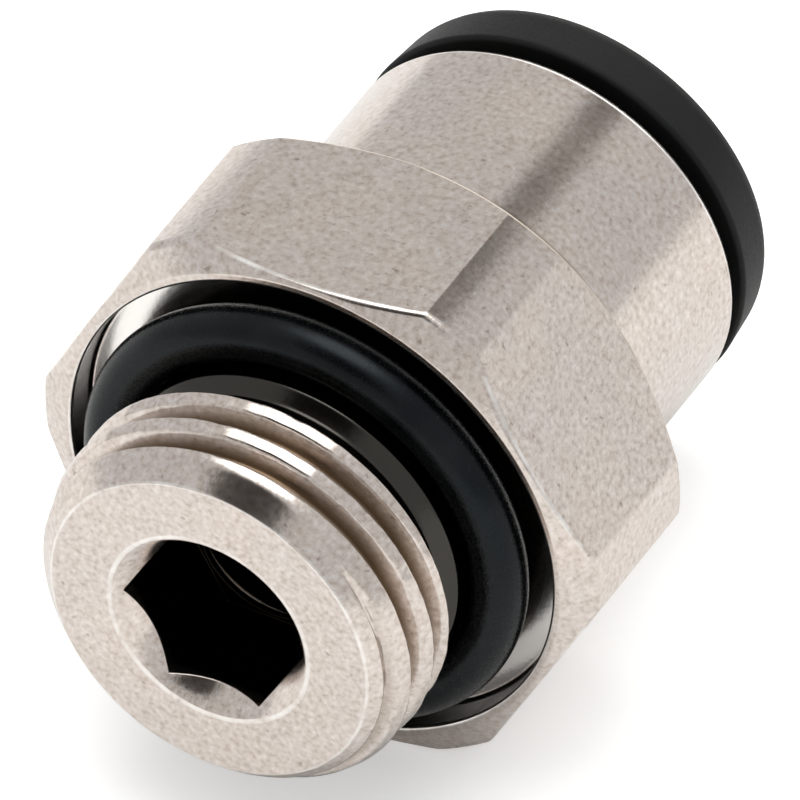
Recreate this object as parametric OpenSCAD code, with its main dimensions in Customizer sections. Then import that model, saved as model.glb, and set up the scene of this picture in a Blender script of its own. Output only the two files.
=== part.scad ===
// Push to connect fitting, straight male stud with a captive face seal.
// It lies on one flat of its hexagon with its axis along Y. The thread points to -Y, the tube
// port to +Y, and the origin is on the axis at the sealing face of the hexagon.

/* [Thread] */
// Major diameter of the parallel pipe thread
thread_d = 13.157; // [12.9:0.001:13.3]
// Thread pitch
thread_pitch = 1.337; // [1.2:0.001:1.4]
// Depth of the thread from crest to root
thread_depth = 0.856; // [0.6:0.001:0.9]
// Length of the stud in front of the sealing face
stud_length = 6.5; // [6.4:0.1:7]
// Diameter of the stud's flat front face, inside its lead chamfer
front_face_d = 11.1; // [10.8:0.1:11.4]

/* [Hexagon socket] */
// Width across the flats of the hexagon socket
socket_af = 5.5; // [5.4:0.1:5.8]
// Depth of the hexagon socket
socket_depth = 4.1; // [3.8:0.1:4.2]
// Diameter of the countersink at the mouth of the socket
countersink_d = 7; // [6.8:0.1:7.4]
// Turn of the socket about the axis, against the outer hexagon
socket_turn = 2; // [0:1:30]

/* [Body] */
// Width across the flats of the outer hexagon
hex_af = 17.9; // [17.6:0.1:18.2]
// Diameter the corners of the outer hexagon are turned to
hex_corner_d = 19.6; // [19.2:0.1:20]
// Length of the outer hexagon along the axis
hex_length = 6.7; // [6.2:0.1:7.2]
// Angle of the hexagon's front chamfer from its sealing face
front_chamfer = 30; // [20:1:35]
// Angle of the hexagon's rear chamfer from its rear face
rear_chamfer = 40; // [25:1:45]
// Diameter of the cylinder behind the hexagon
barrel_d = 13.9; // [13.7:0.1:14.4]
// Distance from the sealing face to the tube end of the body
barrel_end = 14.8; // [14.6:0.1:15.5]

/* [Seals] */
// Outer diameter of the recess for the face seal
recess_d = 17; // [16.8:0.1:17.1]
// Depth of the recess for the face seal
recess_depth = 1.3; // [1.2:0.05:1.5]
// Cross-section diameter of the face seal
face_seal_section = 1.8; // [1.7:0.05:1.9]
// Mean diameter of the face seal
face_seal_d = 13.7; // [13.6:0.1:13.9]
// How far the face seal stands out in front of the sealing face
face_seal_proud = 1.2; // [1:0.1:1.3]
// Cross-section diameter of the tube seal
tube_seal_section = 1.7; // [1.6:0.05:1.72]

/* [Tube] */
// Outer diameter of the tube the fitting takes
tube_d = 8; // [7.95:0.01:8.05]
// How far the release collar travels when it is pushed in
collar_stroke = 0.6; // [0.3:0.05:0.6]
// Number of sprung jaws in the grip ring
jaw_count = 8; // [8]

/* [Collar] */
// Diameter of the collar's flange
flange_d = 13.9; // [13.6:0.1:14.4]
// Thickness of the collar's flange
flange_length = 2; // [1.8:0.05:2.4]

/* [Hidden] */

$fn = 96;
eps = 0.01;
gap = 0.05;

// Thread stud
crest_r = thread_d / 2;
root_r = crest_r - thread_depth;
crest_flat = thread_pitch / 6;
crest_count = 3;
last_crest = -3.1;
crest_overlap = 0.1;
relief_start = last_crest + thread_pitch / 2;
relief_depth = 0.22;
relief_slope = 0.3;
neck_r = root_r - relief_depth;
stud_overlap = 0.5;

// Outer hexagon and its sealing face
hex_corner_r = hex_corner_d / 2;
hex_face_r = hex_af / 2 - 0.15;
hex_rear_r = hex_af / 2 - 0.05;
front_drop = (hex_corner_r - hex_face_r) * tan(front_chamfer);
rear_drop = (hex_corner_r - hex_rear_r) * tan(rear_chamfer);
edge_round = 0.1;

// Bores, from the stud to the mouth
countersink_depth = 1;
passage_r = 2.6;
passage_mouth_r = 3.07;
tube_stop = -1.7;
tube_bore_r = tube_d / 2 + 0.06;
seal_bore_start = 6.4;
seal_bore_r = 5.75;
mouth_bore_start = 9.35;
mouth_bore_r = 6.1;
socket_corner_r = socket_af / 2 / cos(30);

// Seals
seal_gap = 0.02;
face_seal_r = face_seal_d / 2;
face_seal_y = face_seal_section / 2 - face_seal_proud;
seat_r = face_seal_r - face_seal_section / 2 - seal_gap;
seat_front = -face_seal_proud - 0.1;
tube_seal_r = seal_bore_r - seal_gap - tube_seal_section / 2;
tube_seal_y = seal_bore_start + tube_seal_section / 2 + seal_gap;
washer_bore_r = tube_d / 2 + 0.15;
washer_start = 8.2;
washer_end = 9.2;

// Grip cartridge
cartridge_r = mouth_bore_r - gap;
grip_plane = 10.5;
sheet = 0.25;
sheet_gap = 0.02;
seat_ring_inner_r = 5.3;
band_inner_r = 5.22;
jaw_hinge_r = 5.05;
jaw_half_width = 1.15;
jaw_tip_taper = 0.1;
jaw_rest_angle = 35;
jaw_length = (jaw_hinge_r - tube_d / 2) / cos(jaw_rest_angle);
guide_inner_r = 5.2;
guide_end = 12.05;

// Retaining sleeve and release collar
sleeve_start = 12.1;
sleeve_end = barrel_end - 0.05;
sleeve_inner_r = 4.95;
stem_r = 4.85;
bead_r = 5.1;
bead_start = 11.45;
bead_lead = 0.15;
bead_back = 0.1;
nose_y = 10.1;
nose_r = 4.2;
nose_slope = 1.7;
collar_bore_r = tube_d / 2 + 0.05;
flange_start = barrel_end + collar_stroke + 0.02;
flange_end = flange_start + flange_length;
flange_taper = 0.15;
flange_edge = 0.1;
rim_length = 0.4;
rim_shoulder = 0.12;
lead_in = 0.7;

// Turns a shape drawn about Z so that its axis runs along Y.
module along_y() {
    rotate([-90, 0, 0]) children();
}

// Ring with a rectangular section, from start to end along Y.
module ring(inner_r, outer_r, start, end) {
    along_y() translate([0, 0, start]) difference() {
        cylinder(r = outer_r, h = end - start);
        translate([0, 0, -1]) cylinder(r = inner_r, h = end - start + 2);
    }
}

// Round cord ring, such as an O-ring.
module cord_ring(mean_r, section, y) {
    along_y() translate([0, 0, y]) rotate_extrude() translate([mean_r, 0]) circle(d = section);
}

// Solid of revolution about Y from a profile of [radius, y] points.
module turned(profile) {
    along_y() rotate_extrude() polygon(profile);
}

// One thread crest at y: a true cylinder at the major diameter between two flanks.
module thread_crest(y) {
    half_root = (thread_pitch - crest_flat) / 2;
    turned([
        [root_r - crest_overlap, y - half_root],
        [root_r, y - half_root],
        [crest_r, y - crest_flat / 2],
        [crest_r, y + crest_flat / 2],
        [root_r, y + half_root],
        [root_r - crest_overlap, y + half_root]
    ]);
}

// Threaded stud: chamfered nose, crests, the relief groove behind them and the seal's seat.
module stud() {
    lead = crest_r - front_face_d / 2;
    outside = crest_r + 1;
    intersection() {
        union() {
            turned([
                [0, -stud_length],
                [root_r, -stud_length],
                [root_r, relief_start],
                [neck_r, relief_start + relief_slope],
                [neck_r, seat_front - (seat_r - neck_r)],
                [seat_r, seat_front],
                [seat_r, recess_depth + stud_overlap],
                [0, recess_depth + stud_overlap]
            ]);
            for (i = [0 : crest_count - 1]) thread_crest(last_crest - i * thread_pitch);
        }
        turned([
            [0, -stud_length],
            [front_face_d / 2, -stud_length],
            [front_face_d / 2 + lead, -stud_length + lead],
            [outside, -stud_length + lead],
            [outside, hex_length],
            [0, hex_length]
        ]);
    }
}

// Outer hexagon with turned corners, both ends chamfered, and the recess for the face seal.
module hexagon() {
    difference() {
        intersection() {
            along_y() cylinder(r = hex_af / 2 / cos(30), h = hex_length, $fn = 6);
            turned([
                [0, 0],
                [hex_face_r, 0],
                [hex_corner_r, front_drop],
                [hex_corner_r, hex_length - rear_drop],
                [hex_rear_r, hex_length],
                [0, hex_length]
            ]);
        }
        ring(seat_r, recess_d / 2, -recess_depth, recess_depth);
    }
}

// Barrel behind the hexagon, with a rounded tube end.
module barrel() {
    barrel_r = barrel_d / 2;
    turned(concat(
        [[0, hex_length - 1], [barrel_r, hex_length - 1]],
        [for (a = [0 : 15 : 90]) [
            barrel_r - edge_round + edge_round * cos(a),
            barrel_end - edge_round + edge_round * sin(a)
        ]],
        [[0, barrel_end]]
    ));
}

module body() {
    color("#c9c0b6") difference() {
        union() {
            stud();
            hexagon();
            barrel();
        }
        // Hexagon socket with its countersink
        rotate([0, socket_turn, 0]) along_y() translate([0, 0, -stud_length - 1])
            cylinder(r = socket_corner_r, h = socket_depth + 1 + eps, $fn = 6);
        turned([
            [0, -stud_length - eps],
            [countersink_d / 2 + eps, -stud_length - eps],
            [countersink_d / 2 - countersink_depth, -stud_length + countersink_depth],
            [0, -stud_length + countersink_depth]
        ]);
        // Passage from the socket, opening out at the tube stop
        turned([
            [0, -stud_length + countersink_depth],
            [passage_r, -stud_length + countersink_depth],
            [passage_r, tube_stop - (passage_mouth_r - passage_r)],
            [passage_mouth_r, tube_stop],
            [passage_mouth_r, tube_stop + eps],
            [0, tube_stop + eps]
        ]);
        // Tube bore, seal bore and mouth bore
        along_y() translate([0, 0, tube_stop]) cylinder(r = tube_bore_r, h = barrel_end - tube_stop + 1);
        along_y() translate([0, 0, seal_bore_start]) cylinder(r = seal_bore_r, h = barrel_end);
        along_y() translate([0, 0, mouth_bore_start]) cylinder(r = mouth_bore_r, h = barrel_end);
    }
}

module face_seal() {
    color("#23262a") cord_ring(face_seal_r, face_seal_section, face_seal_y);
}

module tube_seal() {
    color("#1c1d1f") cord_ring(tube_seal_r, tube_seal_section, tube_seal_y);
}

module seal_washer() {
    color("#e8e4d8") ring(washer_bore_r, seal_bore_r - gap, washer_start, washer_end);
}

// Pressed into the mouth of the body. Its bore guides and stops the collar.
module retaining_sleeve() {
    color("#b9a15a") ring(sleeve_inner_r, mouth_bore_r, sleeve_start, sleeve_end);
}

module seat_ring() {
    color("#c8ab62") ring(
        seat_ring_inner_r, cartridge_r, mouth_bore_start + gap, grip_plane - sheet / 2 - sheet_gap
    );
}

// Root band of the grip ring.
module grip_base() {
    color("#b8bcc0") ring(band_inner_r, cartridge_r, grip_plane - sheet / 2, grip_plane + sheet / 2);
}

module collet_guide() {
    color("#c8ab62") ring(guide_inner_r, cartridge_r, grip_plane + sheet / 2 + sheet_gap, guide_end);
}

// One toothed jaw, hinged about its root and leaning inwards and away from the mouth.
module grip_jaw(i) {
    color("#b8bcc0") rotate([0, (i - 1) * 360 / jaw_count, 0])
        translate([0, grip_plane, jaw_hinge_r]) rotate([-90 - jaw_rest_angle, 0, 0])
            linear_extrude(sheet, center = true) polygon([
                [-jaw_half_width, 0],
                [jaw_half_width, 0],
                [jaw_half_width - jaw_tip_taper, jaw_length],
                [-jaw_half_width + jaw_tip_taper, jaw_length]
            ]);
}

// Release collar: tapered nose, retaining bead, stem and the flange that is pressed.
module release_collar() {
    taper_end = nose_y + (stem_r - nose_r) * nose_slope;
    flange_r = flange_d / 2;
    rim_r = flange_r - flange_taper;
    color("#1f2023") turned([
        [collar_bore_r, nose_y],
        [nose_r, nose_y],
        [stem_r, taper_end],
        [stem_r, bead_start],
        [bead_r, bead_start + bead_lead],
        [bead_r, sleeve_start - bead_back],
        [stem_r, sleeve_start - gap],
        [stem_r, flange_start],
        [flange_r - flange_edge, flange_start],
        [flange_r, flange_start + flange_edge],
        [rim_r, flange_end - rim_length],
        [rim_r - rim_shoulder, flange_end - rim_shoulder],
        [rim_r - rim_length, flange_end],
        [collar_bore_r + lead_in, flange_end],
        [collar_bore_r, flange_end - lead_in]
    ]);
}

body();
face_seal();
tube_seal();
seal_washer();
retaining_sleeve();
seat_ring();
grip_base();
collet_guide();
grip_jaw(1);  // grip_jaw_1
grip_jaw(2);  // grip_jaw_2
grip_jaw(3);  // grip_jaw_3
grip_jaw(4);  // grip_jaw_4
grip_jaw(5);  // grip_jaw_5
grip_jaw(6);  // grip_jaw_6
grip_jaw(7);  // grip_jaw_7
grip_jaw(8);  // grip_jaw_8
release_collar();
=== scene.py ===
"""Looks of the push to connect fitting: turned, plated, moulded and stamped pieces on a pale floor.

Lengths are millimetres and angles are degrees unless a name or a comment says otherwise. The
frame is that of the CAD: Y along the axis from the thread to the tube port, Z up. Angles go
round the axis from Z towards X.
"""

import math

import bmesh
import bpy
import numpy as np
from mathutils import Matrix, Vector


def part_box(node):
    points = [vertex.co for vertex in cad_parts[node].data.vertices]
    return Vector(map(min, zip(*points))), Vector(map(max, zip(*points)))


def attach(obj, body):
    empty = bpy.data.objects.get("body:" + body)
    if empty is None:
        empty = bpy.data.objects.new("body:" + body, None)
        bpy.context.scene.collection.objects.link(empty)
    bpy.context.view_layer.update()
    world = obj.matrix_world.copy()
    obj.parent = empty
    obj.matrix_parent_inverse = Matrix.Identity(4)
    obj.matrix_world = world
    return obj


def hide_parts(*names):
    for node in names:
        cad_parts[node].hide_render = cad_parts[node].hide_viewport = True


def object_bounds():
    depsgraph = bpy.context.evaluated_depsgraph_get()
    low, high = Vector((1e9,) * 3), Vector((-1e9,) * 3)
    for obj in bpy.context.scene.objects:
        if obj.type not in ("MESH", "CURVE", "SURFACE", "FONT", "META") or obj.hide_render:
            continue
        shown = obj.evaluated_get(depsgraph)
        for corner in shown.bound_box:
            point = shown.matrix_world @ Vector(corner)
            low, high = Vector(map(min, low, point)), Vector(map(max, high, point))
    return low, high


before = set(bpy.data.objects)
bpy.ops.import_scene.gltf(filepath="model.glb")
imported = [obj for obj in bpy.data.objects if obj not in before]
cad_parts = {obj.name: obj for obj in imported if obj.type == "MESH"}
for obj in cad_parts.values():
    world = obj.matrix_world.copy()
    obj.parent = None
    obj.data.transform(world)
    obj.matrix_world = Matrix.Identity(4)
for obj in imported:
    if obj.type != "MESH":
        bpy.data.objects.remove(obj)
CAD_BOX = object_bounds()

MM = 0.001
TURN = 2 * math.pi


def span(node, axis):
    """Lowest and highest value of a CAD node along an axis."""
    low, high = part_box(node)
    return low[axis] / MM, high[axis] / MM


# ---------------------------------------------------------------- sizes of the body

STUD_FRONT, BARREL_END = span("body", 1)
HEX_AF = 2 * span("body", 2)[1]

# Stud: front face, lead chamfer, right-hand thread, relief groove and neck. A crest passes
# THREAD_CREST_Y at THREAD_CREST_ANGLE. In front of THREAD_START the grooves are filled.
FRONT_FACE_R = 5.55
LEAD_GAP = 0.05
THREAD_R = 6.5785
THREAD_DEPTH = 0.856
THREAD_ROOT_R = THREAD_R - THREAD_DEPTH
THREAD_PITCH = 1.337
THREAD_CREST_Y = -3.1
THREAD_CREST_ANGLE = -1.7
THREAD_START = -6.0
START_FADE = 0.3
RELIEF_Y = -2.95
RELIEF_SLOPE = 1.7
RELIEF_END = RELIEF_Y + 0.85
NECK_R = THREAD_ROOT_R - 0.22

# Thread's form. Flats and the flank's end are shares of half a pitch, measured from the crest.
# A shallow cone in front of each crest starts just behind the crest's middle; the first one
# ends on the lead chamfer. The lumps make its edge uneven.
FRONT_FLAT = 0.32
BACK_FLAT = 0.10
FLANK_END = 0.83
STRAIGHT_FLANK = 0.35
SHOULDER_SLOPE = 0.40
SHOULDER_START = 0.06
LEAD_END_R, LEAD_END_Y = 6.25, -5.80
CREST_SOFTNESS = 0.03
WAVE_HEIGHT = 0.018
LONG_LUMP = 0.014
SHORT_LUMP = 0.009

# Seat of the face seal and the recess round it.
SEAT_R = 5.93
SEAT_FRONT = -1.3
RECESS_R = 8.5
RECESS_DEPTH = 1.3

# Outer hexagon, chamfered at both ends, with its corners turned to a cylinder.
HEX_CORNER_R = 9.8
HEX_FACE_R = HEX_AF / 2 - 0.15
HEX_REAR_R = HEX_AF / 2 - 0.05
HEX_LENGTH = 6.7
FRONT_CHAMFER = math.tan(math.radians(30))
REAR_CHAMFER = math.tan(math.radians(40))
HEX_EDGE_SOFTNESS = 0.012

# Barrel and the bores that open at its end.
BARREL_R = 6.95
BEVEL_HEIGHT = 0.085
BEVEL_LENGTH = 0.18
MOUTH_R = 6.1
MOUTH_START = 9.35
SEAL_BORE_R = 5.75
SEAL_BORE_START = 6.4
TUBE_BORE_R = 4.06
TUBE_STOP = -1.7

# Hexagon socket in the stud, and the passage behind it.
COUNTERSINK_R = 3.5
SOCKET_AF = 5.5
SOCKET_END = STUD_FRONT + 4.1
SOCKET_TURN = 2.0
PASSAGE_R = 2.6
PASSAGE_MOUTH_R = 3.07

# Mesh steps: columns round the body, rows along one pitch, points on a rounded corner. A corner
# takes up a limited share of its shorter side. The extra point beside it is at a small distance,
# and at a smaller share of a short side.
COLUMN_STEP = 1.5
EDGE_STEPS = (0.08, 0.2, 0.4, 0.75, 1.3)
PITCH_STEPS = 30
CORNER_STEPS = 3
CORNER_POINTS = CORNER_STEPS + 3
CORNER_SHARE = 0.45
SUPPORT_GAP = 0.04
SUPPORT_SHARE = 0.04

# ---------------------------------------------------------------- sizes of the other pieces

# Release collar, from its nose inside the body to its flange.
COLLAR_FRONT, COLLAR_END = span("release_collar", 1)
COLLAR_STROKE = 0.6
COLLAR_BORE_R = 4.05
COLLAR_NOSE_R = 4.2
COLLAR_NOSE_LENGTH = 1.105
COLLAR_STEM_R = 4.85
COLLAR_BEAD_R = 5.1
COLLAR_BEAD = (11.6, 12.0)
COLLAR_BEAD_LEAD = 0.15
COLLAR_BEAD_BACK = 0.05
COLLAR_GAP = 0.02
FLANGE_EDGE = 0.1
FLANGE_TAPER = 0.15
FLANGE_FACE = 0.55
RIM_LENGTH = 0.4
RIM_SHOULDER = 0.12
COLLAR_LEAD_IN = 0.7

# Jaws of the grip ring: each leans from its hinge inwards and away from the tube port.
JAW_COUNT = 8
JAW_HINGE_R = 5.05
JAW_HINGE_Y = 10.5
JAW_THICKNESS = 0.25
JAW_LENGTH = 1.2818
JAW_LEAN = 35.0
JAW_HALF_NECK = 0.93
JAW_NECK = (0.08, 0.35)
JAW_HALF_ROOT = 1.15
JAW_HALF_TIP = 1.05
JAW_BEVEL = 0.03


# ---------------------------------------------------------------- mesh tools

def corner(r, y, fillet):
    """One corner of an outline: radius from the axis, place along it, and how far it's rounded."""
    return (r, y, fillet)


def rounded(corners):
    """Closed outline through the corners, each replaced by a short curve, with one more point on
    the straight at each side of it, so that straights shade flat."""
    points = np.array([c[:2] for c in corners], float)
    reach = np.array([c[2] for c in corners], float)
    before = np.roll(points, 1, 0) - points
    after = np.roll(points, -1, 0) - points
    length_before = np.linalg.norm(before, axis=1)
    length_after = np.linalg.norm(after, axis=1)
    trim = np.minimum(reach, CORNER_SHARE * np.minimum(length_before, length_after))
    start = points + before / length_before[:, None] * trim[:, None]
    end = points + after / length_after[:, None] * trim[:, None]
    t = np.linspace(0, 1, CORNER_STEPS + 1)[None, :, None]
    curve = (1 - t) ** 2 * start[:, None] + 2 * t * (1 - t) * points[:, None] + t ** 2 * end[:, None]
    first = start + before * np.minimum(SUPPORT_GAP / length_before, SUPPORT_SHARE)[:, None]
    last = end + after * np.minimum(SUPPORT_GAP / length_after, SUPPORT_SHARE)[:, None]
    return np.concatenate([first[:, None], curve, last[:, None]], axis=1).reshape(-1, 2)


def soft_minimum(value, limit, softness):
    """The smaller of a value and a limit, with the edge between them rounded off."""
    over = (value - limit) / softness
    return limit + softness * (np.minimum(over, 0) - np.log1p(np.exp(-np.abs(over))))


def mesh_object(name, verts, faces, material, even=True):
    """New mesh object in metres, cleaned of doubled points and smooth.
    even: its normals are weighted by area."""
    mesh = bpy.data.meshes.new(name)
    mesh.from_pydata([tuple(v) for v in np.asarray(verts) * MM], [], faces)
    work = bmesh.new()
    work.from_mesh(mesh)
    bmesh.ops.remove_doubles(work, verts=work.verts, dist=2e-7)
    bmesh.ops.dissolve_degenerate(work, edges=work.edges, dist=1e-7)
    bmesh.ops.recalc_face_normals(work, faces=work.faces)
    for face in work.faces:
        face.smooth = True
    work.to_mesh(mesh)
    work.free()
    mesh.materials.append(material)
    obj = bpy.data.objects.new(name, mesh)
    bpy.context.scene.collection.objects.link(obj)
    if even:
        weighted = obj.modifiers.new("even_normals", "WEIGHTED_NORMAL")
        weighted.weight = 60
    return obj


def place(obj, body, node):
    """The piece moves with a body and stands for a CAD node, which it hides."""
    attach(obj, body)
    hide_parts(node)


def wrap_outlines(angles, outlines, seam=None):
    """Vertices and faces of a closed skin whose section at each angle is the matching outline.
    seam gives, for each row of the last column, the row it meets in the first column."""
    columns, rows = len(angles), len(outlines[0])
    a = np.radians(np.asarray(angles, float))[:, None]
    outlines = np.asarray(outlines)
    r, y = outlines[:, :, 0], outlines[:, :, 1]
    verts = np.stack([r * np.sin(a), y, r * np.cos(a)], axis=2).reshape(-1, 3)
    straight = list(range(rows))
    faces = []
    for i in range(columns):
        k = (i + 1) % columns
        meet = seam if (k == 0 and seam is not None) else straight
        for j in range(rows):
            n = (j + 1) % rows
            faces.append((i * rows + j, i * rows + n, k * rows + meet[n], k * rows + meet[j]))
    return verts, faces


def revolved(name, outline, material, columns):
    """Solid of revolution about Y from the points of its section."""
    angles = np.arange(columns) * 360 / columns
    verts, faces = wrap_outlines(angles, [outline] * columns)
    return mesh_object(name, verts, faces, material)


# ---------------------------------------------------------------- material tools

def shader(name):
    """New material, with its Principled node and its node tree."""
    material = bpy.data.materials.new(name)
    material.use_nodes = True
    tree = material.node_tree
    return material, tree.nodes["Principled BSDF"], tree


def noise(tree, scale, detail, stretch=(1, 1, 1)):
    """Noise in the object's own coordinates. scale is features per millimetre."""
    coordinates = tree.nodes.new("ShaderNodeTexCoord")
    mapping = tree.nodes.new("ShaderNodeMapping")
    mapping.inputs["Scale"].default_value = stretch
    texture = tree.nodes.new("ShaderNodeTexNoise")
    texture.inputs["Scale"].default_value = scale / MM
    texture.inputs["Detail"].default_value = detail
    tree.links.new(coordinates.outputs["Object"], mapping.inputs["Vector"])
    tree.links.new(mapping.outputs["Vector"], texture.inputs["Vector"])
    return texture.outputs["Fac"]


def ramp(tree, source, stops):
    """Colour ramp from a value, with stops of (position, colour)."""
    node = tree.nodes.new("ShaderNodeValToRGB")
    while len(node.color_ramp.elements) < len(stops):
        node.color_ramp.elements.new(0.5)
    for element, (position, colour) in zip(node.color_ramp.elements, stops):
        element.position = position
        element.color = (*colour, 1)
    tree.links.new(source, node.inputs["Fac"])
    return node.outputs["Color"]


def spread(tree, source, low, high, start=0.3, stop=0.7):
    """Maps start..stop of a value onto low..high. The middle of a noise is the usual range."""
    node = tree.nodes.new("ShaderNodeMapRange")
    node.inputs["From Min"].default_value = start
    node.inputs["From Max"].default_value = stop
    node.inputs["To Min"].default_value = low
    node.inputs["To Max"].default_value = high
    tree.links.new(source, node.inputs["Value"])
    return node.outputs["Result"]


def mixed(tree, factor, first, second, blend="MIX"):
    """Mixes two colours, each a socket or a plain colour of four values."""
    node = tree.nodes.new("ShaderNodeMix")
    node.data_type = "RGBA"
    node.blend_type = blend
    for socket, value in ((node.inputs[0], factor), (node.inputs[6], first), (node.inputs[7], second)):
        if isinstance(value, (int, float, tuple)):
            socket.default_value = value
        else:
            tree.links.new(value, socket)
    return node.outputs[2]


def product(tree, first, second):
    """Product of two values."""
    node = tree.nodes.new("ShaderNodeMath")
    node.operation = "MULTIPLY"
    tree.links.new(first, node.inputs[0])
    tree.links.new(second, node.inputs[1])
    return node.outputs["Value"]


def bumped(tree, principled, *layers):
    """Bump layers of (height value, height in millimetres), one on top of another."""
    previous = None
    for height, depth in layers:
        node = tree.nodes.new("ShaderNodeBump")
        node.inputs["Strength"].default_value = 1.0
        node.inputs["Distance"].default_value = depth * MM
        tree.links.new(height, node.inputs["Height"])
        if previous is not None:
            tree.links.new(previous, node.inputs["Normal"])
        previous = node.outputs["Normal"]
    tree.links.new(previous, principled.inputs["Normal"])


def from_axis(tree):
    """Distance from the fitting's axis and place along it, both in metres."""
    coordinates = tree.nodes.new("ShaderNodeTexCoord")
    split = tree.nodes.new("ShaderNodeSeparateXYZ")
    tree.links.new(coordinates.outputs["Object"], split.inputs["Vector"])
    across = tree.nodes.new("ShaderNodeVectorMath")
    across.operation = "MULTIPLY"
    across.inputs[1].default_value = (1, 0, 1)
    tree.links.new(coordinates.outputs["Object"], across.inputs[0])
    length = tree.nodes.new("ShaderNodeVectorMath")
    length.operation = "LENGTH"
    tree.links.new(across.outputs["Vector"], length.inputs[0])
    return length.outputs["Value"], split.outputs["Y"]


def about(centre, before, after, fade):
    """Edges of a zone that reaches before and after a centre, and fades outside them."""
    return (centre - before, centre + after, fade)


def zone(tree, value, edges):
    """1 between two edges, fading to 0 over a width outside them."""
    start, stop, fade = edges
    rise = spread(tree, value, 0, 1, (start - fade) * MM, start * MM)
    fall = spread(tree, value, 1, 0, stop * MM, (stop + fade) * MM)
    return product(tree, rise, fall)


def ring_zone(tree, radius, along, radii, places):
    """1 in a ring: between two radii and between two places along the axis."""
    return product(tree, zone(tree, radius, radii), zone(tree, along, places))


def cone_band(tree, radius, along, slope, through, edges):
    """1 on a band between two edges, measured along the axis from a cone. The cone falls by slope
    and passes through a (radius, place along the axis)."""
    height = tree.nodes.new("ShaderNodeMath")
    height.operation = "MULTIPLY_ADD"
    height.inputs[1].default_value = slope
    tree.links.new(radius, height.inputs[0])
    tree.links.new(along, height.inputs[2])
    cone = through[1] + through[0] * slope
    return zone(tree, height.outputs["Value"], (cone + edges[0], cone + edges[1], 0.03))


# ---------------------------------------------------------------- materials

# Painted shade and painted light on the plating: colour, zone of radii, and zone along the axis. A
# zone is its start, its end, and the width over which it fades outside them.
PAINTED_SHADE_AND_LIGHT = [
    ((0.27, 0.21, 0.155, 1), (5.0, 5.85, 0.36), (-5.7, -2.2, 0.3)),  # painted shade in the thread grooves
    ((0.055, 0.052, 0.047, 1), (5.0, 5.95, 0.05), (-2.2, 1.2, 0.2)),  # painted shade on the neck and seat
    ((0.93, 0.90, 0.87, 1), (7.6, 8.38, 0.03), about(RECESS_DEPTH, 0.03, 0.05, 0.03)),  # painted highlight on the floor of the recess
    ((0.035, 0.03, 0.027, 1), about(RECESS_R, 0.05, 0.1, 0.04), (0.16, RECESS_DEPTH - 0.06, 0.05)),  # painted shade on the wall of the recess
    ((0.012, 0.009, 0.007, 1), (0.0, 4.3, 0.1), (-5.6, 6.0, 0.15)),  # painted shade in the socket and bores
]

# Step at which the tube stops, seen through the passage as bare pale brass.
STOP_COLOUR = (0.80, 0.64, 0.48, 1)
STOP_RADII = (PASSAGE_R + 0.02, PASSAGE_MOUTH_R + 0.01, 0.02)
STOP_PLACES = (TUBE_STOP - 0.46, TUBE_STOP - 0.02, 0.02)

# Edges of the hexagon: colours of the painted shade along the rear one and of the painted
# highlight along the front ones, and the zone of radii in which its flats lie.
REAR_EDGE_SHADE = (0.48, 0.41, 0.35, 1)
FRONT_EDGE_HIGHLIGHT = (0.97, 0.95, 0.92, 1)
FLATS = (8.93, 9.5, 0.02)

# Round edges painted lighter as a painted highlight: zone of radii and zone along the axis.
EDGE_HIGHLIGHT = (0.92, 0.90, 0.87, 1)
HIGHLIGHT_EDGES = [
    (about(COUNTERSINK_R, 0.04, 0.06, 0.05), about(STUD_FRONT, 0.1, 0.08, 0.02)),
    (about(FRONT_FACE_R, 0.01, 0.04, 0.04), about(STUD_FRONT, 0.1, 0.08, 0.02)),
    (about(RECESS_R, 0.04, 0.1, 0.03), about(0.0, 0.1, 0.14, 0.02)),
    (about(BARREL_R, 0.11, 0.05, 0.02), about(BARREL_END, 0.22, 0.1, 0.02)),
]


def plating_tone(tree, grain, cloud):
    """Colour of the plating: a fine light and dark grain, slow changes, and a few dark specks."""
    tone = ramp(tree, grain, [
        (0.28, (0.52, 0.45, 0.40)), (0.45, (0.645, 0.575, 0.53)), (0.58, (0.695, 0.63, 0.59)),
        (0.74, (0.78, 0.72, 0.69))])
    cast = ramp(tree, cloud, [(0.35, (0.97, 0.975, 0.98)), (0.65, (1.0, 0.99, 0.975))])
    specks = ramp(tree, noise(tree, 3.4, 3), [(0.66, (1, 1, 1)), (0.74, (0.66, 0.63, 0.60))])
    colour = mixed(tree, 1.0, tone, cast, "MULTIPLY")
    return mixed(tree, 1.0, colour, specks, "MULTIPLY")


def hexagon_shade_and_highlight(tree, radius, along, mottle, colour):
    """Painted shade on the rear edge of the hexagon, and a painted highlight on the edge
    between its flats and front chamfer.
    """
    # Painted shade along the rear chamfer, where the hexagon meets the barrel.
    rear = cone_band(tree, radius, along, REAR_CHAMFER, (HEX_REAR_R, HEX_LENGTH), (-0.05, 0.2))
    rear = product(tree, rear, spread(tree, mottle, 0.4, 1.0))
    colour = mixed(tree, rear, colour, REAR_EDGE_SHADE)
    # Painted highlight along the edge between the flats and the front chamfer.
    front = cone_band(tree, radius, along, -FRONT_CHAMFER, (HEX_FACE_R, 0), (0.04, 0.12))
    front = product(tree, front, zone(tree, radius, FLATS))
    front = product(tree, front, spread(tree, mottle, 0.1, 0.95))
    return mixed(tree, front, colour, FRONT_EDGE_HIGHLIGHT)


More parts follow.
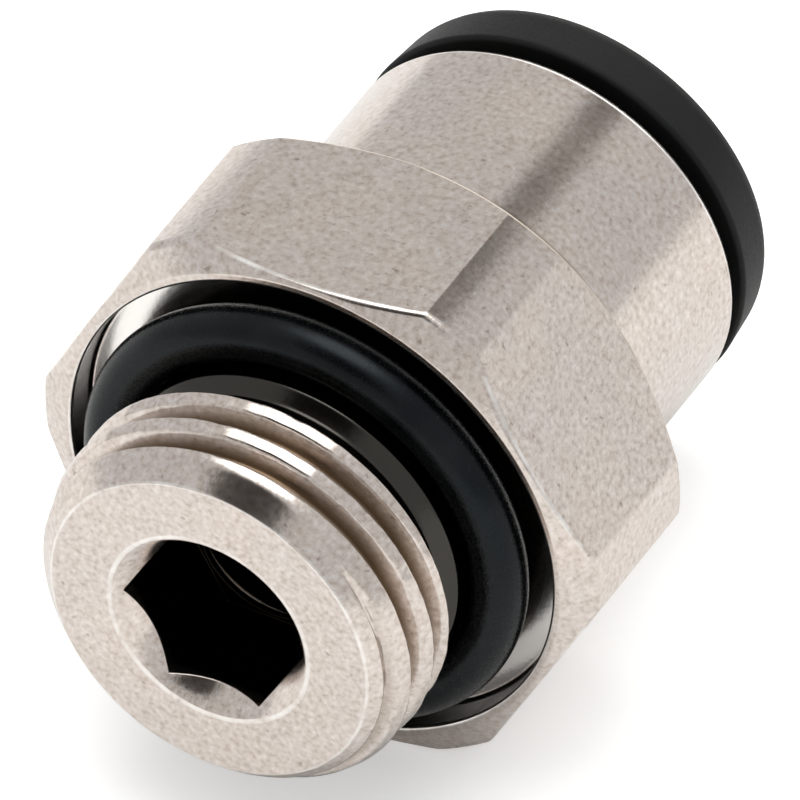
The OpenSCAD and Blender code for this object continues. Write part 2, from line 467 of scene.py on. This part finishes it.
def nickel_plate():
    """Satin nickel over brass: grained, with painted shade in the grooves, on the neck, on the recess
    wall and in the bores, painted light on the recess floor, and painted highlights along edges.
    """
    material, principled, tree = shader("nickel_plate")
    grain = noise(tree, 5.2, 2.5)
    fine = noise(tree, 12, 2)
    cloud = noise(tree, 0.35, 2)
    # Noise that breaks up the painted shade and the painted highlights.
    mottle = noise(tree, 1.1, 3)
    radius, along = from_axis(tree)
    colour = plating_tone(tree, grain, cloud)
    # Painted shade and painted light, ring by ring.
    for painted_tone, radii, places in PAINTED_SHADE_AND_LIGHT:
        colour = mixed(tree, ring_zone(tree, radius, along, radii, places), colour, painted_tone)
    stop = ring_zone(tree, radius, along, STOP_RADII, STOP_PLACES)
    colour = mixed(tree, stop, colour, STOP_COLOUR)
    # Painted highlights along the round edges, broken up by a noise.
    for radii, places in HIGHLIGHT_EDGES:
        highlight_mask = product(tree, ring_zone(tree, radius, along, radii, places), spread(tree, mottle, 0.15, 0.9))
        colour = mixed(tree, highlight_mask, colour, EDGE_HIGHLIGHT)
    colour = hexagon_shade_and_highlight(tree, radius, along, mottle, colour)
    tree.links.new(colour, principled.inputs["Base Color"])
    tree.links.new(spread(tree, stop, 1, 0, 0, 1), principled.inputs["Metallic"])
    tree.links.new(spread(tree, cloud, 0.17, 0.22), principled.inputs["Roughness"])
    bumped(tree, principled, (grain, 0.0036), (fine, 0.0008))
    return material


def rubber(name, colour, shine):
    """Moulded nitrile: near black, with a soft bloom and a very fine pitted skin."""
    material, principled, tree = shader(name)
    bloom = noise(tree, 0.7, 3)
    pits = noise(tree, 14, 3)
    light = tuple(c * 1.9 + 0.004 for c in colour)
    tree.links.new(ramp(tree, bloom, [(0.35, colour), (0.75, light)]), principled.inputs["Base Color"])
    tree.links.new(spread(tree, pits, shine, shine + 0.14), principled.inputs["Roughness"])
    principled.inputs["Specular IOR Level"].default_value = 0.22
    principled.inputs["Specular Tint"].default_value = (0.80, 0.93, 1.0, 1)
    bumped(tree, principled, (pits, 0.0015), (bloom, 0.006))
    return material


def moulded_plastic(name, colour, shine, rim=None):
    """Moulded acetal: even colour with faint flow marks and a fine eroded grain.
    rim is the place along the axis beyond which the surface is darker and warmer."""
    material, principled, tree = shader(name)
    flow = noise(tree, 0.5, 2, (1, 0.25, 1))
    grain = noise(tree, 11, 4)
    light = tuple(c * 1.25 + 0.002 for c in colour)
    tone = ramp(tree, flow, [(0.3, colour), (0.7, light)])
    if rim is not None:
        edge = spread(tree, from_axis(tree)[1], 0, 1, (rim - 0.1) * MM, (rim + 0.15) * MM)
        tone = mixed(tree, edge, tone, (0.0045, 0.0012, 0.0016, 1))
    tree.links.new(tone, principled.inputs["Base Color"])
    tree.links.new(spread(tree, grain, shine, shine + 0.12), principled.inputs["Roughness"])
    principled.inputs["Specular IOR Level"].default_value = 0.17
    bumped(tree, principled, (grain, 0.004))
    return material


def turned_metal(name, dark, light, gloss):
    """Bare turned or rolled metal: fine tool lines round the axis and a little tarnish."""
    material, principled, tree = shader(name)
    lines = noise(tree, 0.2, 3, (1, 60, 1))
    tarnish = noise(tree, 1.2, 4)
    tree.links.new(ramp(tree, tarnish, [(0.3, dark), (0.65, light)]), principled.inputs["Base Color"])
    principled.inputs["Metallic"].default_value = 1.0
    tree.links.new(spread(tree, lines, gloss, gloss + 0.15), principled.inputs["Roughness"])
    bumped(tree, principled, (lines, 0.003))
    return material


# ---------------------------------------------------------------- body

def polygon_radius(angle, across_flats):
    """Distance from the axis to the side of a hexagon whose corners are at 30 + 60 k degrees."""
    from_flat = math.radians((angle + 30) % 60 - 30)
    return across_flats / 2 / math.cos(from_flat)


def body_angles():
    """Column angles round the body: even steps, closer at the edges of the hexagons."""
    angles = set(np.round(np.arange(0, 360, COLUMN_STEP), 4))
    flat_end = math.degrees(math.acos(HEX_AF / 2 / HEX_CORNER_R))
    for k in range(6):
        for edge in (60 * k - flat_end, 60 * k + flat_end):
            for off in EDGE_STEPS:
                angles.add(round((edge - off) % 360, 4))
                angles.add(round((edge + off) % 360, 4))
        angles.add(round((30 + 60 * k + SOCKET_TURN) % 360, 4))
    return sorted(angles)


def thread_height(from_crest):
    """Height of the thread, 0 at its root to 1 at its crest. from_crest is a share of the pitch."""
    flat = np.where(from_crest < 0, FRONT_FLAT, BACK_FLAT)
    slope = np.clip((FLANK_END - 2 * np.abs(from_crest)) / (FLANK_END - flat), 0, 1)
    return STRAIGHT_FLANK * slope + (1 - STRAIGHT_FLANK) * slope ** 2 * (3 - 2 * slope)


def waviness(a, y):
    """Slow waves over the thread, as left by plating over a rolled thread. a is in radians."""
    broad = math.sin(13 * a + 2.1 * math.sin(5 * a)) * np.cos(4.3 * y + 3 * a)
    short = math.sin(29 * a + 1.3) * np.sin(7 * y) + 0.7 * np.sin(61 * a + 5 * y)
    return broad + 0.6 * short


def thread_radius(a, y, from_crest):
    """Radius of the thread before its ends are cut: flanks, lumps, and a cone in front of each
    crest. The grooves are filled in front of the thread's start. a is in radians."""
    filled = np.clip((THREAD_START - y) / START_FADE, 0, 1)
    height = np.maximum(thread_height(from_crest), filled)
    r = THREAD_ROOT_R + (THREAD_DEPTH + WAVE_HEIGHT * waviness(a, y)) * height
    lump = LONG_LUMP * math.sin(37 * a + 2 * math.sin(5 * a)) + SHORT_LUMP * math.sin(53 * a)
    in_front = np.maximum(SHOULDER_START + lump - from_crest * THREAD_PITCH, 0)
    shoulder = THREAD_R - SHOULDER_SLOPE * in_front
    shoulder = np.minimum(shoulder, LEAD_END_R + SHOULDER_SLOPE * (y - LEAD_END_Y))
    cut = np.minimum(r, np.maximum(shoulder, THREAD_ROOT_R))
    return np.where(y > THREAD_START - START_FADE, cut, r)


def thread_rows(angle):
    """Points of the thread's skin at one angle, from the lead chamfer to the relief groove.
    Rows follow the helix, so the last column meets the first one pitch further on."""
    front = STUD_FRONT + LEAD_GAP
    turns = math.ceil((RELIEF_END - front) / THREAD_PITCH) + 2
    crest = THREAD_CREST_Y - THREAD_CREST_ANGLE / 360 * THREAD_PITCH
    first = math.floor((front - crest) / THREAD_PITCH) - 1
    phase = np.arange(turns * PITCH_STEPS + 1) / PITCH_STEPS
    y = np.clip(crest + (first + phase + angle / 360) * THREAD_PITCH, front, RELIEF_END)
    from_crest = ((y - crest) / THREAD_PITCH - angle / 360 + 0.5) % 1 - 0.5
    r = thread_radius(math.radians(angle), y, from_crest)
    lead = FRONT_FACE_R + (y - STUD_FRONT)
    relief = THREAD_R - (y - RELIEF_Y) * RELIEF_SLOPE
    r = np.maximum(soft_minimum(r, lead, CREST_SOFTNESS), FRONT_FACE_R + LEAD_GAP)
    r = np.minimum(r, np.maximum(relief, NECK_R))
    return np.stack([r, y], axis=1)


def front_outline():
    """Front face of the stud, from the countersink to the lead chamfer. The last two corners only
    show which way the outline goes on."""
    return rounded([
        corner(COUNTERSINK_R, STUD_FRONT, 0.1),
        corner(FRONT_FACE_R, STUD_FRONT, 0.05),
        corner(FRONT_FACE_R + 0.1, STUD_FRONT + 0.1, 0),
        corner(0, STUD_FRONT + 1, 0),
    ])[1:2 * CORNER_POINTS - 1]


def rear_outline(angle):
    """Body from the neck round the hexagon, the barrel and the bores to the socket's countersink.
    The first two corners only show which way the outline comes from."""
    hexagon = soft_minimum(polygon_radius(angle, HEX_AF), HEX_CORNER_R, HEX_EDGE_SOFTNESS)
    front_drop = (hexagon - HEX_FACE_R) * FRONT_CHAMFER
    rear_drop = (hexagon - HEX_REAR_R) * REAR_CHAMFER
    socket = polygon_radius(angle - SOCKET_TURN, SOCKET_AF)
    return rounded([
        corner(COUNTERSINK_R, STUD_FRONT, 0),
        corner(NECK_R, RELIEF_END + 0.05, 0),
        corner(NECK_R, SEAT_FRONT - (SEAT_R - NECK_R), 0.08),
        corner(SEAT_R, SEAT_FRONT, 0.06),
        corner(SEAT_R, RECESS_DEPTH, 0.12),
        corner(RECESS_R, RECESS_DEPTH, 0.1),
        corner(RECESS_R, 0, 0.13),
        corner(HEX_FACE_R, 0, 0.04),
        corner(hexagon, front_drop, 0.16),
        corner(hexagon, HEX_LENGTH - rear_drop, 0.06),
        corner(HEX_REAR_R, HEX_LENGTH, 0.05),
        corner(BARREL_R, HEX_LENGTH, 0.12),
        corner(BARREL_R, BARREL_END - BEVEL_LENGTH, 0.05),
        corner(BARREL_R - BEVEL_HEIGHT, BARREL_END, 0.04),
        corner(MOUTH_R, BARREL_END, 0.12),
        corner(MOUTH_R, MOUTH_START, 0.05),
        corner(SEAL_BORE_R, MOUTH_START, 0.03),
        corner(SEAL_BORE_R, SEAL_BORE_START, 0.08),
        corner(TUBE_BORE_R, SEAL_BORE_START, 0.08),
        corner(TUBE_BORE_R, TUBE_STOP, 0.05),
        corner(PASSAGE_MOUTH_R, TUBE_STOP, 0.04),
        corner(PASSAGE_R, TUBE_STOP - (PASSAGE_MOUTH_R - PASSAGE_R), 0.05),
        corner(PASSAGE_R, SOCKET_END, 0.05),
        corner(socket, SOCKET_END, 0.05),
        corner(socket, STUD_FRONT + COUNTERSINK_R - socket, 0.04),
    ])[2 * CORNER_POINTS:]


def build_body(material):
    """Whole plated body as one closed skin, with a true right-hand thread."""
    angles = body_angles()
    front = front_outline()
    threads = [thread_rows(a) for a in angles]
    outlines = [np.concatenate([front, rows, rear_outline(a)]) for a, rows in zip(angles, threads)]
    before = len(front)
    last = before + len(threads[0]) - 1
    seam = list(range(len(outlines[0])))
    for j in range(before, last + 1):
        seam[j] = min(j + PITCH_STEPS, last)
    verts, faces = wrap_outlines(angles, outlines, seam)
    return mesh_object("fitting_body", verts, faces, material, even=False)


# ---------------------------------------------------------------- other pieces

def build_seal(name, node, material):
    """O-ring as large as the box of its CAD node."""
    low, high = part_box(node)
    section_r = (high.y - low.y) / 2 / MM
    mean_r = high.x / MM - section_r
    middle = (low.y + high.y) / 2 / MM
    points = 64
    t = np.arange(points) * TURN / points
    outline = np.stack([mean_r + section_r * np.cos(t), middle + section_r * np.sin(t)], axis=1)
    return revolved(name, outline, material, columns=240)


def build_ring(name, node, inner, material):
    """Ring with a rectangular section and rounded corners, outside as large as its CAD node."""
    start, end = span(node, 1)
    outer = span(node, 0)[1]
    fillet = 0.06
    outline = rounded([
        corner(inner, start, fillet), corner(outer, start, fillet),
        corner(outer, end, fillet), corner(inner, end, fillet)])
    return revolved(name, outline, material, columns=192)


def build_collar(material):
    """Release collar: tapered nose, bead, stem, and the flange with a lead-in for the tube."""
    flange_r = span("release_collar", 0)[1]
    rim_r = flange_r - FLANGE_TAPER
    flange_start = BARREL_END + COLLAR_STROKE + COLLAR_GAP
    bead_start, bead_end = COLLAR_BEAD
    outline = rounded([
        corner(COLLAR_BORE_R, COLLAR_FRONT, 0.03),
        corner(COLLAR_NOSE_R, COLLAR_FRONT, 0.03),
        corner(COLLAR_STEM_R, COLLAR_FRONT + COLLAR_NOSE_LENGTH, 0.1),
        corner(COLLAR_STEM_R, bead_start - COLLAR_BEAD_LEAD, 0.04),
        corner(COLLAR_BEAD_R, bead_start, 0.04),
        corner(COLLAR_BEAD_R, bead_end, 0.04),
        corner(COLLAR_STEM_R, bead_end + COLLAR_BEAD_BACK, 0.02),
        corner(COLLAR_STEM_R, flange_start, 0.15),
        corner(flange_r - FLANGE_EDGE, flange_start, 0.08),
        corner(flange_r, flange_start + FLANGE_EDGE, 0.08),
        corner(rim_r, COLLAR_END - RIM_LENGTH, 0.12),
        corner(rim_r - RIM_SHOULDER, COLLAR_END - RIM_SHOULDER, 0.1),
        corner(flange_r - FLANGE_FACE, COLLAR_END, 0.12),
        corner(COLLAR_BORE_R + COLLAR_LEAD_IN, COLLAR_END, 0.12),
        corner(COLLAR_BORE_R, COLLAR_END - COLLAR_LEAD_IN, 0.2),
    ])
    return revolved("release_collar_moulding", outline, material, columns=256)


def build_jaw(index, material):
    """One stamped finger of the grip ring: necked where it bends, wide at its tooth edge."""
    neck_start, neck_end = JAW_NECK
    outline = [
        (-JAW_HALF_NECK, neck_start), (JAW_HALF_NECK, neck_start), (JAW_HALF_ROOT, neck_end),
        (JAW_HALF_TIP, JAW_LENGTH), (-JAW_HALF_TIP, JAW_LENGTH), (-JAW_HALF_ROOT, neck_end)]
    work = bmesh.new()
    low = [work.verts.new((x, y, -JAW_THICKNESS / 2)) for x, y in outline]
    high = [work.verts.new((x, y, JAW_THICKNESS / 2)) for x, y in outline]
    work.faces.new(low[::-1])
    work.faces.new(high)
    for i in range(len(outline)):
        k = (i + 1) % len(outline)
        work.faces.new((low[i], low[k], high[k], high[i]))
    bmesh.ops.bevel(work, geom=list(work.edges), offset=JAW_BEVEL, segments=2, affect="EDGES")
    turn = Matrix.Rotation(TURN * (index - 1) / JAW_COUNT, 4, "Y")
    lift = Matrix.Translation((0, JAW_HINGE_Y, JAW_HINGE_R))
    tilt = Matrix.Rotation(math.radians(-90 - JAW_LEAN), 4, "X")
    work.transform(turn @ lift @ tilt)
    verts = [tuple(v.co) for v in work.verts]
    faces = [[v.index for v in f.verts] for f in work.faces]
    work.free()
    return mesh_object(f"grip_finger_{index}", verts, faces, material)


def build_pieces():
    """Every piece of the fitting, on its body."""
    nickel = nickel_plate()
    brass = turned_metal("turned_brass", (0.55, 0.38, 0.14), (0.78, 0.60, 0.30), 0.22)
    steel = turned_metal("spring_steel", (0.50, 0.50, 0.50), (0.68, 0.68, 0.67), 0.25)
    face_rubber = rubber("face_seal_rubber", (0.0002, 0.0004, 0.0006), 0.21)
    tube_rubber = rubber("tube_seal_rubber", (0.004, 0.004, 0.0045), 0.40)
    black = moulded_plastic("collar_plastic", (0.0035, 0.0040, 0.0040), 0.45, rim=COLLAR_END - 0.35)
    natural = moulded_plastic("washer_plastic", (0.72, 0.70, 0.62), 0.38)

    place(build_body(nickel), "fitting", "body")
    for node, material in (("face_seal", face_rubber), ("tube_seal", tube_rubber)):
        place(build_seal(node + "_ring", node, material), "fitting", node)

    # Plain rings: node, inner radius, material, body and finish slot.
    rings = [
        ("seal_washer", 4.15, natural, "fitting", "washer_plastic"),
        ("retaining_sleeve", 4.95, brass, "fitting", "sleeve_brass"),
        ("seat_ring", 5.3, brass, "cartridge", "guide_brass"),
        ("grip_base", 5.22, steel, "cartridge", "spring_steel"),
        ("collet_guide", 5.2, brass, "cartridge", "guide_brass"),
    ]
    for node, inner, material, body, slot in rings:
        place(build_ring(node + "_ring", node, inner, material), body, node)

    for index in range(1, JAW_COUNT + 1):
        place(build_jaw(index, steel), f"jaw_{index}", f"grip_jaw_{index}")
    place(build_collar(black), "collar", "release_collar")


# ---------------------------------------------------------------- set

# Darker and brighter openings of the light tent: direction, full and fading half angle, colour.
TENT_OPENINGS = [
    ((0.0, 0.0, 1.0), 12, 26, (3.6, 3.6, 3.55, 1)),
    ((-0.04, -0.73, 0.69), 16, 20, (0.035, 0.03, 0.03, 1)),
    ((0.21, 0.655, 0.72), 5, 10, (0.18, 0.17, 0.155, 1)),
    ((-0.1, 1.0, 0.15), 14, 32, (1.9, 1.88, 1.85, 1)),
]

# Floor: a gap keeps it clear of the hexagon's lowest flat.
FLOOR_SIZE_M = 6
FLOOR_GAP = 0.02
FLOOR_GLOW = 0.35

# Camera: it sees a square as wide as VIEW_WIDTH round a point near the middle of the fitting.
CAMERA_AZIMUTH = 30.24
CAMERA_ELEVATION = 40.73
CAMERA_ROLL = -2.17
CAMERA_DISTANCE_M = 0.8
FILM_WIDTH = 36
VIEW_WIDTH = 24.86325
AIM_Y = 5.0
AIM_RIGHT = 0.361
AIM_UP = 0.380


def build_floor():
    """Plain pale floor just under the fitting, faintly uneven, that glows a little to the camera."""
    material, principled, tree = shader("pale_floor")
    patch = noise(tree, 0.01, 2)
    tone = ramp(tree, patch, [(0.3, (0.87, 0.87, 0.865)), (0.7, (0.9, 0.9, 0.895))])
    tree.links.new(tone, principled.inputs["Base Color"])
    principled.inputs["Roughness"].default_value = 0.85
    principled.inputs["Specular IOR Level"].default_value = 0.1
    principled.inputs["Emission Color"].default_value = (1, 1, 1, 1)
    ray = tree.nodes.new("ShaderNodeLightPath")
    glow = spread(tree, ray.outputs["Is Camera Ray"], 0, FLOOR_GLOW, 0, 1)
    tree.links.new(glow, principled.inputs["Emission Strength"])
    height = CAD_BOX[0][2] - FLOOR_GAP * MM
    bpy.ops.mesh.primitive_plane_add(size=FLOOR_SIZE_M, location=(0, 0, height))
    floor = bpy.context.object
    floor.name = "floor"
    floor.data.materials.append(material)


def direction_patch(tree, direction, centre, inner, outer):
    """1 inside a cone of inner degrees about a centre, fading to 0 at outer degrees."""
    dot = tree.nodes.new("ShaderNodeVectorMath")
    dot.operation = "DOT_PRODUCT"
    dot.inputs[1].default_value = Vector(centre).normalized()
    tree.links.new(direction, dot.inputs[0])
    fade = tree.nodes.new("ShaderNodeMapRange")
    fade.interpolation_type = "SMOOTHSTEP"
    fade.inputs["From Min"].default_value = math.cos(math.radians(outer))
    fade.inputs["From Max"].default_value = math.cos(math.radians(inner))
    tree.links.new(dot.outputs["Value"], fade.inputs["Value"])
    return fade.outputs["Result"]


def build_world():
    """Pale light tent with a few openings, which the plating reflects."""
    world = bpy.data.worlds.new("light_tent")
    bpy.context.scene.world = world
    world.use_nodes = True
    tree = world.node_tree
    tree.nodes.clear()
    coordinates = tree.nodes.new("ShaderNodeTexCoord")
    direction = coordinates.outputs["Generated"]
    split = tree.nodes.new("ShaderNodeSeparateXYZ")
    tree.links.new(direction, split.inputs["Vector"])
    colour = ramp(tree, spread(tree, split.outputs["X"], 0, 1, -1, 1), [
        (0.0, (0.72, 0.72, 0.73)), (0.3, (0.68, 0.675, 0.66)), (0.9, (0.70, 0.70, 0.70))])
    for centre, inner, outer, tone in TENT_OPENINGS:
        factor = direction_patch(tree, direction, centre, inner, outer)
        colour = mixed(tree, factor, colour, tone)
    background = tree.nodes.new("ShaderNodeBackground")
    background.inputs["Strength"].default_value = 1.0
    output = tree.nodes.new("ShaderNodeOutputWorld")
    tree.links.new(colour, background.inputs["Color"])
    tree.links.new(background.outputs["Background"], output.inputs["Surface"])


def softbox(name, position, size, power):
    """Square studio light that faces the fitting and isn't mirrored in it. Metres and watts."""
    aim = Vector((0, AIM_Y * MM, 0))
    light = bpy.data.lights.new(name, "AREA")
    light.shape = "RECTANGLE"
    light.size = size
    light.size_y = size
    light.energy = power
    obj = bpy.data.objects.new(name, light)
    obj.location = position
    obj.rotation_euler = (aim - Vector(position)).to_track_quat("-Z", "Y").to_euler()
    obj.visible_glossy = False
    bpy.context.scene.collection.objects.link(obj)


def build_camera():
    """Long lens above and to the right of the thread end, tilted a little about its own axis."""
    azimuth = math.radians(CAMERA_AZIMUTH)
    elevation = math.radians(CAMERA_ELEVATION)
    roll = math.radians(CAMERA_ROLL)
    look = Vector((
        -math.sin(azimuth) * math.cos(elevation),
        math.cos(azimuth) * math.cos(elevation),
        -math.sin(elevation)))
    level = look.cross(Vector((0, 0, 1))).normalized()
    upright = level.cross(look)
    right = level * math.cos(roll) + upright * math.sin(roll)
    up = upright * math.cos(roll) - level * math.sin(roll)
    aim = Vector((0, AIM_Y * MM, 0)) + right * AIM_RIGHT * MM + up * AIM_UP * MM
    position = aim - look * CAMERA_DISTANCE_M
    camera = bpy.data.cameras.new("camera")
    obj = bpy.data.objects.new("camera", camera)
    bpy.context.scene.collection.objects.link(obj)
    rotation = Matrix((right, up, -look)).transposed().to_4x4()
    obj.matrix_world = Matrix.Translation(position) @ rotation
    camera.sensor_width = FILM_WIDTH
    camera.lens = FILM_WIDTH * CAMERA_DISTANCE_M / (VIEW_WIDTH * MM)
    camera.clip_start = 0.05
    camera.clip_end = 10
    bpy.context.scene.camera = obj


def build_set():
    """Floor, light and camera."""
    build_floor()
    build_world()
    softbox("overhead", (-0.1, 0.1, 0.6), 1.2, 2.0)
    softbox("front_right", (0.6, -0.35, 0.35), 0.6, 0.7)
    bpy.context.scene.view_settings.view_transform = "Standard"
    build_camera()


build_pieces()
build_set()
